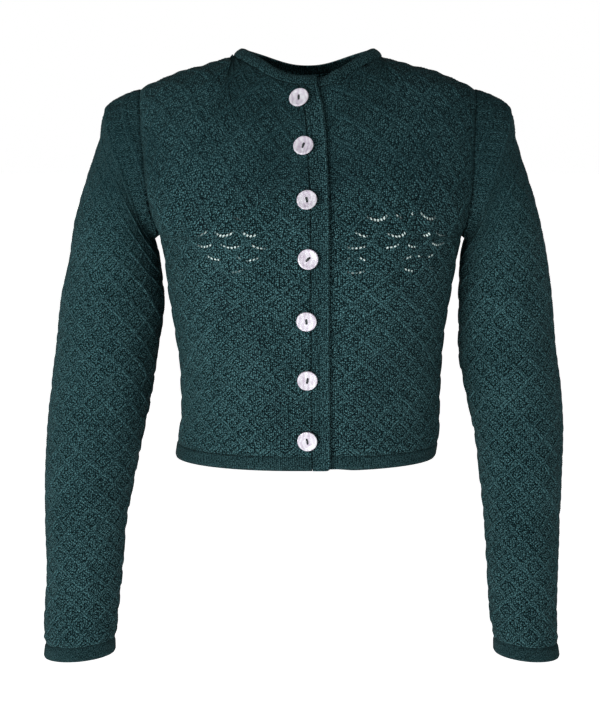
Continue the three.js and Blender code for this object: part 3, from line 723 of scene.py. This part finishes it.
# ---- sleeves ----
# Long set-in sleeves in the same lattice, each one tube sewn into its armhole and
# closed along the underarm. They hang slightly forward and bag a little at the elbow.
FAN_END = -242
SHAPED_ROWS = 16 * STITCHES
CAP_ROWS = 18 * STITCHES
ARM_ROWS = 30 * STITCHES
ARMHOLE_SEAM = 1.4
CUFF_TILT = 5
HALF_DIAMOND = (12.15, 11.6)
CAP_LINE = [
    (163, -34),
    (180, -40.5),
    (192, -47),
    (198.5, -54),
    (201, -65),
    (203.5, -80),
    (212.5, -108),
    (222.5, -138),
    (230.5, -167),
]
ARM = [
    # z, right out, right in, left out, left in, forward, half depth
    (-197, 235, 148, 237, 153.5, -2, 49),
    (-242, 245, 144.5, 243, 151, -3, 50),
    (-287, 250.5, 149.5, 247.5, 151.5, -4, 49),
    (-332, 256.5, 156, 253.5, 159, -3, 47),
    (-378, 261, 166, 256, 168.5, 0, 45),
    (-424, 263, 174.5, 255, 174.7, 5, 42),
    (-468, 263, 182.5, 253, 179.6, 11, 39),
    (-513, 262, 186.5, 251, 181.6, 17, 36),
    (-557, 263, 191.5, 249.5, 183.6, 24, 34),
    (-583, 262.5, 193.5, 250.5, 187, 28, 33),
]
arm = table_curves("z right_out right_in left_out left_in forward depth", ARM)
SLEEVE_FOLDS = {
    # round from the underarm (a quarter is the front) and height at each end, then
    # bow, width and depth
    -1: [
        (20, -205, 70, -236, 6, 8, -2.0),
        (34, -232, 92, -262, -5, 9, -1.6),
        (16, -318, 78, -338, 5, 8, -2.1),
        (52, -352, 110, -340, -4, 9, -1.7),
        (20, -372, 66, -392, 4, 7, -1.5),
        (70, -428, 118, -446, 5, 9, -1.2),
        (22, -492, 70, -508, -4, 8, -1.1),
        (118, -190, 96, -262, 6, 12, -1.5),
        (150, -330, 214, -350, 5, 9, -1.8),
        (176, -286, 232, -306, -4, 10, -1.4),
        (196, -420, 250, -404, 4, 8, -1.3),
        (60, -290, 108, -300, 3, 12, 1.2),
        (140, -470, 190, -486, -4, 9, -1.0),
    ],
    1: [
        (24, -202, 76, -230, -5, 8, -2.1),
        (30, -238, 84, -272, 5, 9, -1.7),
        (18, -330, 84, -344, -5, 8, -1.9),
        (58, -364, 106, -350, 4, 9, -1.5),
        (20, -392, 72, -414, -4, 8, -1.6),
        (66, -450, 116, -462, 4, 9, -1.2),
        (24, -510, 74, -522, 4, 8, -1.0),
        (120, -196, 100, -258, -6, 12, -1.4),
        (156, -322, 218, -342, -5, 9, -1.7),
        (182, -280, 236, -300, 4, 10, -1.5),
        (192, -436, 246, -420, -4, 8, -1.2),
        (56, -300, 104, -312, -3, 12, 1.1),
        (146, -484, 198, -498, 4, 9, -1.1),
    ],
}


def smooth_path(points):
    """A fine path in the x and z plane through the points."""
    points = np.array(points, float)
    lengths = np.concatenate([[0], np.cumsum(np.hypot(*np.diff(points, axis=0).T))])
    fine = np.linspace(0, lengths[-1], 1200)
    x, z = (smooth_curve(lengths, points[:, axis])(fine) for axis in (0, 1))
    return np.stack([x, 0 * x, z], -1)


def fan_and_arm(path):
    """Rows fan out round the cap and are level down the arm."""
    split = int(np.argmax(path[:, 2] <= FAN_END))
    fan, straight = spread(path[: split + 1], CAP_ROWS), spread(path[split:], ARM_ROWS)
    return np.concatenate([fan, straight[1:]])


def sleeve_net(side, word):
    facing_x = np.array([side, 1, 1])
    out_points = CAP_LINE + [(arm[f"{word}_out"](z), z) for z in (row[0] for row in ARM)]
    pit = abs(halves[side, -1][LOWER_ROWS, -1, 0])
    in_points = [(pit, ARMPIT), (pit + 7, ARMPIT - 6)]
    in_points += [(arm[f"{word}_in"](row[0]), row[0]) for row in ARM[:-1]]
    in_points += [(ARM[-1][2 if side < 0 else 4], ARM[-1][0] + CUFF_TILT)]
    outer = fan_and_arm(smooth_path(out_points)) * facing_x
    inner = fan_and_arm(smooth_path(in_points)) * facing_x
    middle, across = (outer + inner) / 2, (outer - inner) / 2
    level = np.maximum(middle[:, 2], ARM[-1][0])
    middle[:, 1] = -arm["forward"](level)
    depth = arm["depth"](level)
    facing = np.stack([across[:, 2], 0 * depth, -across[:, 0]], -1)
    facing /= np.linalg.norm(facing, axis=1, keepdims=True)
    front, rear = (halves[side, face][LOWER_ROWS:, -1] for face in (-1, 1))
    loop = np.concatenate([front, rear[-2:0:-1]])
    start = loop - middle[0]
    shape_across = start @ across[0] / (across[0] @ across[0])
    shape_deep, shape_facing = start[:, 1] / depth[0], start @ facing[0]
    rounded = smoothstep(np.arange(len(middle)), 0, SHAPED_ROWS)[:, None]
    angle = 2 * np.pi * np.arange(len(loop)) / len(loop)
    net = middle[:, None] + across[:, None] * lerp(shape_across, -np.cos(angle), rounded)[..., None]
    net = net + facing[:, None] * lerp(shape_facing, 0, rounded)[..., None]
    net[..., 1] += depth[:, None] * lerp(shape_deep, -np.sin(angle), rounded)
    net[..., 0] += side * ARMHOLE_SEAM * np.clip(1 - np.arange(len(net)) / STITCHES, 0, 1)[:, None]
    return np.concatenate([net, net[:, :1]], axis=1), angle


def tube_normals(net):
    """Unit vectors off a tube whose last column repeats its first."""
    ring = net[:, :-1]
    rows = np.gradient(ring, axis=0)
    columns = np.roll(ring, -1, axis=1) - np.roll(ring, 1, axis=1)
    normals = np.cross(rows, columns)
    normals /= np.linalg.norm(normals, axis=-1, keepdims=True)
    if (normals * (ring - ring.mean(1, keepdims=True))).sum() < 0:
        normals = -normals
    return np.concatenate([normals, normals[:, :1]], axis=1)


def round_middle(net):
    """Which way is out of a tube, for a point near one of its rings."""
    middles = net.mean(1)

    def outward(point):
        near = middles[np.argmin(np.abs(middles[:, 2] - point.z))]
        return type(point)((point.x - near[0], point.y - near[1], 0)).normalized()

    return outward


CUFF_LENGTH = 14
CAP_TUCK = [
    # out from the sleeve (below 0 is inside it), in towards the body's middle
    (-2.7, 4.6),
    (-1.7, 1.4),
]
for side, word in ((-1, "right"), (1, "left")):
    net, angle = sleeve_net(side, word)
    normals = tube_normals(net)
    steps = np.linalg.norm(np.diff(net, axis=1), axis=-1)
    around = np.concatenate([np.zeros((len(net), 1)), np.cumsum(steps, axis=1)], axis=1)
    edge = from_edge(net, closed=True)
    climb = np.linalg.norm(np.diff(net, axis=0), axis=-1)[::-1]
    climb = np.concatenate([np.zeros((1, net.shape[1])), np.cumsum(climb, axis=0)])[::-1]
    knit = np.stack([(around - around[:, -1:] / 2) / HALF_DIAMOND[0], climb / HALF_DIAMOND[1]], -1)
    lift = lattice(knit)
    wave = loose_knit(net[:, :-1], 0.5, 23 + side)
    wave = np.concatenate([wave, wave[:, :1]], axis=1)
    folds = soft_folds(around, net[..., 2], SLEEVE_FOLDS[side])
    folds *= smoothstep(np.minimum(around, around[:, -1:] - around), 0, 16)
    lift = (lift + wave + folds) * edge
    knitted = net + normals * lift[..., None]
    tuck = [
        net[0] + normals[0] * inside - np.array([side * back_in, 0, 0])
        for inside, back_in in CAP_TUCK
    ]
    knitted = np.concatenate([np.array(tuck), knitted])
    knit = np.concatenate([knit[:1], knit[:1], knit])
    sleeve = knit_piece(f"sleeve_{word}_knit", knitted, round_middle(net), knit, closed=True)
    sleeve.data.materials.append(lattice_wool)
    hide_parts(f"sleeve_{word}")

    # Each cuff is a plain strip turned up double like the hem, slightly flared.
    down = (net[-1] - net[-1 - 3 * STITCHES]).mean(0)
    down /= np.linalg.norm(down)
    rows = [net[-1] - down * up + normals[-1] * inside for up, inside in TUCK[::-1]]
    for share in np.linspace(0, 1, HEM_ROWS + 1):
        stands_out = normals[-1] * turned_profile(share, 1.0)
        rows.append(net[-1] + down * lerp(SEAM_GROOVE, CUFF_LENGTH, share) + stands_out)
    cuff_net = np.array(rows)
    way_out = round_middle(cuff_net)
    cuff = knit_piece(f"cuff_{word}_knit", cuff_net, way_out, closed=True, thickness=TURNED_CLOTH)
    cuff.data.materials.append(plain_wool)
    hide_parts(f"cuff_{word}")

# ---- buttons ----
# Seven round buttons cut from river shell, dished with a rounded rim and two holes,
# sewn on with dark thread. Each is tipped by the pull of its thread.
BUTTON_RADIUS = 9.6
HOLE_RADIUS = 1.1
HOLE_FROM_MIDDLE = 1.9
THREAD_SHANK = 0.6
STRAND_OFFSETS = (-0.62, 0.0, 0.62)
STRAND = {"half_length": 2.5, "half_width": 0.48, "half_height": 0.38, "top": 2.35, "dip": 0.9}
BUTTONS = [
    # z, x, tipped up, turned, turn of the holes
    (-45.7, -8.1, 2, 20, 8),
    (-89.5, -4.1, 10, 13, -12),
    (-139, -0.9, 12, 11, 15),
    (-192.6, 0.1, 5, 5, -48),
    (-250.3, -1.4, -5, 3, 4),
    (-307.6, -0.6, -4, -2, -8),
    (-366.6, -0.4, -6, 7, 12),
]
SHELL_PROFILE = [
    # radius, height
    (0.001, 2.0),
    (4.2, 2.02),
    (6.2, 2.2),
    (7.6, 2.62),
    (8.5, 2.8),
    (9.2, 2.62),
    (9.55, 2.1),
    (9.6, 1.3),
    (9.3, 0.55),
    (8.6, 0.1),
    (0.001, 0.0),
]


def shell_button():
    """One button, lathed and drilled with two holes."""
    form = bmesh.new()
    corners = [form.verts.new((radius, 0, height)) for radius, height in SHELL_PROFILE]
    edges = [form.edges.new(pair) for pair in zip(corners, corners[1:])]
    axle = {"cent": (0, 0, 0), "axis": (0, 0, 1), "angle": 2 * math.pi}
    bmesh.ops.spin(form, geom=corners + edges, steps=56, use_merge=True, **axle)
    bmesh.ops.remove_doubles(form, verts=form.verts, dist=0.01)
    bmesh.ops.recalc_face_normals(form, faces=form.faces)
    blank = bpy.data.meshes.new("shell blank")
    form.to_mesh(blank)
    form.free()
    body_blank = bpy.data.objects.new("shell blank", blank)
    bpy.context.collection.objects.link(body_blank)
    drill = bmesh.new()
    for end in (-1, 1):
        bore = {"radius1": HOLE_RADIUS, "radius2": HOLE_RADIUS, "depth": 9}
        made = bmesh.ops.create_cone(drill, cap_ends=True, segments=20, **bore)
        bmesh.ops.translate(drill, verts=made["verts"], vec=(0, end * HOLE_FROM_MIDDLE, 0))
    drill_mesh = bpy.data.meshes.new("drill")
    drill.to_mesh(drill_mesh)
    drill.free()
    drills = bpy.data.objects.new("drill", drill_mesh)
    bpy.context.collection.objects.link(drills)
    cut = body_blank.modifiers.new("holes", "BOOLEAN")
    cut.object = drills
    cut.solver = "EXACT"
    shaped = body_blank.evaluated_get(bpy.context.evaluated_depsgraph_get())
    drilled = bpy.data.meshes.new_from_object(shaped)
    for spare in (body_blank, drills):
        bpy.data.objects.remove(spare)
    return drilled


def river_shell():
    """Mother-of-pearl: milky, with faint pink and grey growth bands."""
    material = bpy.data.materials.new("river shell")
    material.use_nodes = True
    tree = material.node_tree
    shader = tree.nodes["Principled BSDF"]
    place = tree.nodes.new("ShaderNodeTexCoord")
    bands = tree.nodes.new("ShaderNodeTexWave")
    bands.inputs["Scale"].default_value = 70
    bands.inputs["Distortion"].default_value = 9
    bands.inputs["Detail"].default_value = 3
    bands.inputs["Detail Scale"].default_value = 1.4
    cloud = tree.nodes.new("ShaderNodeTexNoise")
    cloud.inputs["Scale"].default_value = 140
    cloud.inputs["Detail"].default_value = 3
    tint = tree.nodes.new("ShaderNodeValToRGB")
    tint.color_ramp.elements[0].color = (0.13, 0.125, 0.15, 1)
    tint.color_ramp.elements[1].color = (0.44, 0.44, 0.47, 1)
    tint.color_ramp.elements.new(0.3).color = (0.26, 0.225, 0.28, 1)
    tint.color_ramp.elements.new(0.55).color = (0.33, 0.3, 0.35, 1)
    both = tree.nodes.new("ShaderNodeMath")
    both.operation = "MULTIPLY_ADD"
    both.inputs[1].default_value = 0.35
    tree.links.new(place.outputs["Object"], bands.inputs["Vector"])
    tree.links.new(place.outputs["Object"], cloud.inputs["Vector"])
    tree.links.new(bands.outputs["Fac"], both.inputs[0])
    tree.links.new(cloud.outputs["Fac"], both.inputs[2])
    tree.links.new(both.outputs[0], tint.inputs[0])
    tree.links.new(tint.outputs["Color"], shader.inputs["Base Color"])
    shader.inputs["Roughness"].default_value = 0.22
    shader.inputs["Coat Weight"].default_value = 0.3
    shader.inputs["Coat Roughness"].default_value = 0.12
    return material


def sewing_thread():
    material = bpy.data.materials.new("sewing thread")
    material.use_nodes = True
    tree = material.node_tree
    shader = tree.nodes["Principled BSDF"]
    place = tree.nodes.new("ShaderNodeTexCoord")
    twist = tree.nodes.new("ShaderNodeTexNoise")
    twist.inputs["Scale"].default_value = 1500
    tint = tree.nodes.new("ShaderNodeValToRGB")
    tint.color_ramp.elements[0].color = (0.002, 0.004, 0.005, 1)
    tint.color_ramp.elements[1].color = (0.012, 0.02, 0.021, 1)
    tree.links.new(place.outputs["Object"], twist.inputs["Vector"])
    tree.links.new(twist.outputs["Fac"], tint.inputs[0])
    tree.links.new(tint.outputs["Color"], shader.inputs["Base Color"])
    shader.inputs["Roughness"].default_value = 0.8
    return material


def unit(vector):
    return vector / np.linalg.norm(vector)


drilled_shell = shell_button()
shell = river_shell()
thread_finish = sewing_thread()
for number, (z, x, tipped, turned, hole_turn) in enumerate(BUTTONS, 1):
    point = body_at(float(x), float(z), -1)
    normal = body_normals(point[None])[0]
    pull = (-math.sin(math.radians(turned)), 0, math.sin(math.radians(tipped)))
    facing = unit(normal + np.array(pull))
    tilt = math.acos(min(float(facing @ normal), 1))
    level = unit(np.cross([0, 0, 1], facing))
    upward = np.cross(facing, level)
    seat = point + normal * (SEAM + THREAD_SHANK + BUTTON_RADIUS * math.sin(tilt))
    turn = math.radians(hole_turn)
    first = level * math.cos(turn) + upward * math.sin(turn)
    second = upward * math.cos(turn) - level * math.sin(turn)
    frame_axes = np.stack([first, second, facing])

    mesh = drilled_shell.copy()
    mesh.name = f"button_{number}_shell"
    for vert in mesh.vertices:
        vert.co = (seat + np.array(vert.co) @ frame_axes) * 0.001
    mesh.shade_smooth()
    mesh.set_sharp_from_angle(angle=math.radians(40))
    button = bpy.data.objects.new(f"button_{number}_shell", mesh)
    bpy.context.collection.objects.link(button)
    mesh.materials.clear()
    mesh.materials.append(shell)
    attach(button, "root")
    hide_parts(f"button_{number}")

    # The thread is three strands laid from hole to hole.
    strands = bmesh.new()
    for offset in STRAND_OFFSETS:
        made = bmesh.ops.create_uvsphere(strands, u_segments=10, v_segments=8, radius=1)
        for vert in made["verts"]:
            along_thread = STRAND["half_length"] * vert.co.y
            height = STRAND["top"] - STRAND["dip"] * abs(vert.co.y) ** 3
            height += STRAND["half_height"] * vert.co.z
            vert.co = (offset + STRAND["half_width"] * vert.co.x, along_thread, height)
    for vert in strands.verts:
        vert.co = (seat + np.array(vert.co) @ frame_axes) * 0.001
    thread_mesh = bpy.data.meshes.new(f"thread_{number}")
    strands.to_mesh(thread_mesh)
    strands.free()
    thread_mesh.shade_smooth()
    thread = bpy.data.objects.new(f"thread_{number}", thread_mesh)
    bpy.context.collection.objects.link(thread)
    thread_mesh.materials.append(thread_finish)
    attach(thread, "root")
bpy.data.meshes.remove(drilled_shell)

# ---- room ----
# A white studio: pale floor, white surround, a large soft light from the front left
# and a weaker one from the right.
floor_mesh = bpy.data.meshes.new("floor")
floor_form = bmesh.new()
bmesh.ops.create_grid(floor_form, x_segments=1, y_segments=1, size=30)
bmesh.ops.translate(floor_form, verts=floor_form.verts, vec=(0, 0, -0.9))
floor_form.to_mesh(floor_mesh)
floor_form.free()
floor = bpy.data.objects.new("floor", floor_mesh)
bpy.context.collection.objects.link(floor)
floor_paint = bpy.data.materials.new("white floor")
floor_paint.use_nodes = True
paint = floor_paint.node_tree.nodes["Principled BSDF"]
paint.inputs["Base Color"].default_value = (1, 1, 1, 1)
paint.inputs["Roughness"].default_value = 0.9
paint.inputs["Emission Color"].default_value = (1, 1, 1, 1)
paint.inputs["Emission Strength"].default_value = 0.62
floor_mesh.materials.append(floor_paint)

room = bpy.data.worlds.new("white room")
bpy.context.scene.world = room
room.use_nodes = True
sky = room.node_tree.nodes.new("ShaderNodeTexCoord")
parts = room.node_tree.nodes.new("ShaderNodeSeparateXYZ")
ceiling = room.node_tree.nodes.new("ShaderNodeMapRange")
ceiling.inputs["From Min"].default_value = 0.22
ceiling.inputs["From Max"].default_value = 0.7
ceiling.inputs["To Min"].default_value = 1.0
ceiling.inputs["To Max"].default_value = 0.22
room.node_tree.links.new(sky.outputs["Generated"], parts.inputs[0])
room.node_tree.links.new(parts.outputs["Z"], ceiling.inputs["Value"])
surround = room.node_tree.nodes["Background"]
room.node_tree.links.new(ceiling.outputs["Result"], surround.inputs["Strength"])
surround.inputs["Color"].default_value = (1, 1, 1, 1)

for name, power, size, spot, aim in (
    ("key light", 95, 1.3, (-1.3, -2.1, -0.55), (0, 0, -0.35)),
    ("side light", 8, 1.2, (2.0, -1.6, -0.3), (0, 0, -0.3)),
):
    lamp = bpy.data.lights.new(name, "AREA")
    lamp.energy = power
    lamp.size = size
    light = bpy.data.objects.new(name, lamp)
    bpy.context.collection.objects.link(light)
    light.location = spot
    direction = light.location.copy()
    direction.xyz = [a - b for a, b in zip(aim, spot)]
    light.rotation_euler = direction.to_track_quat("-Z", "Y").to_euler()

lens = bpy.data.cameras.new("camera")
lens.sensor_width = 36
lens.lens = 91.99
camera = bpy.data.objects.new("camera", lens)
bpy.context.collection.objects.link(camera)
camera.location = (-0.0075, -1.8, -0.07)
direction = camera.location.copy()
direction.xyz = (0, 1.8, -0.227)
camera.rotation_euler = direction.to_track_quat("-Z", "Y").to_euler()
bpy.context.scene.camera = camera
bpy.context.scene.view_settings.view_transform = "Standard"
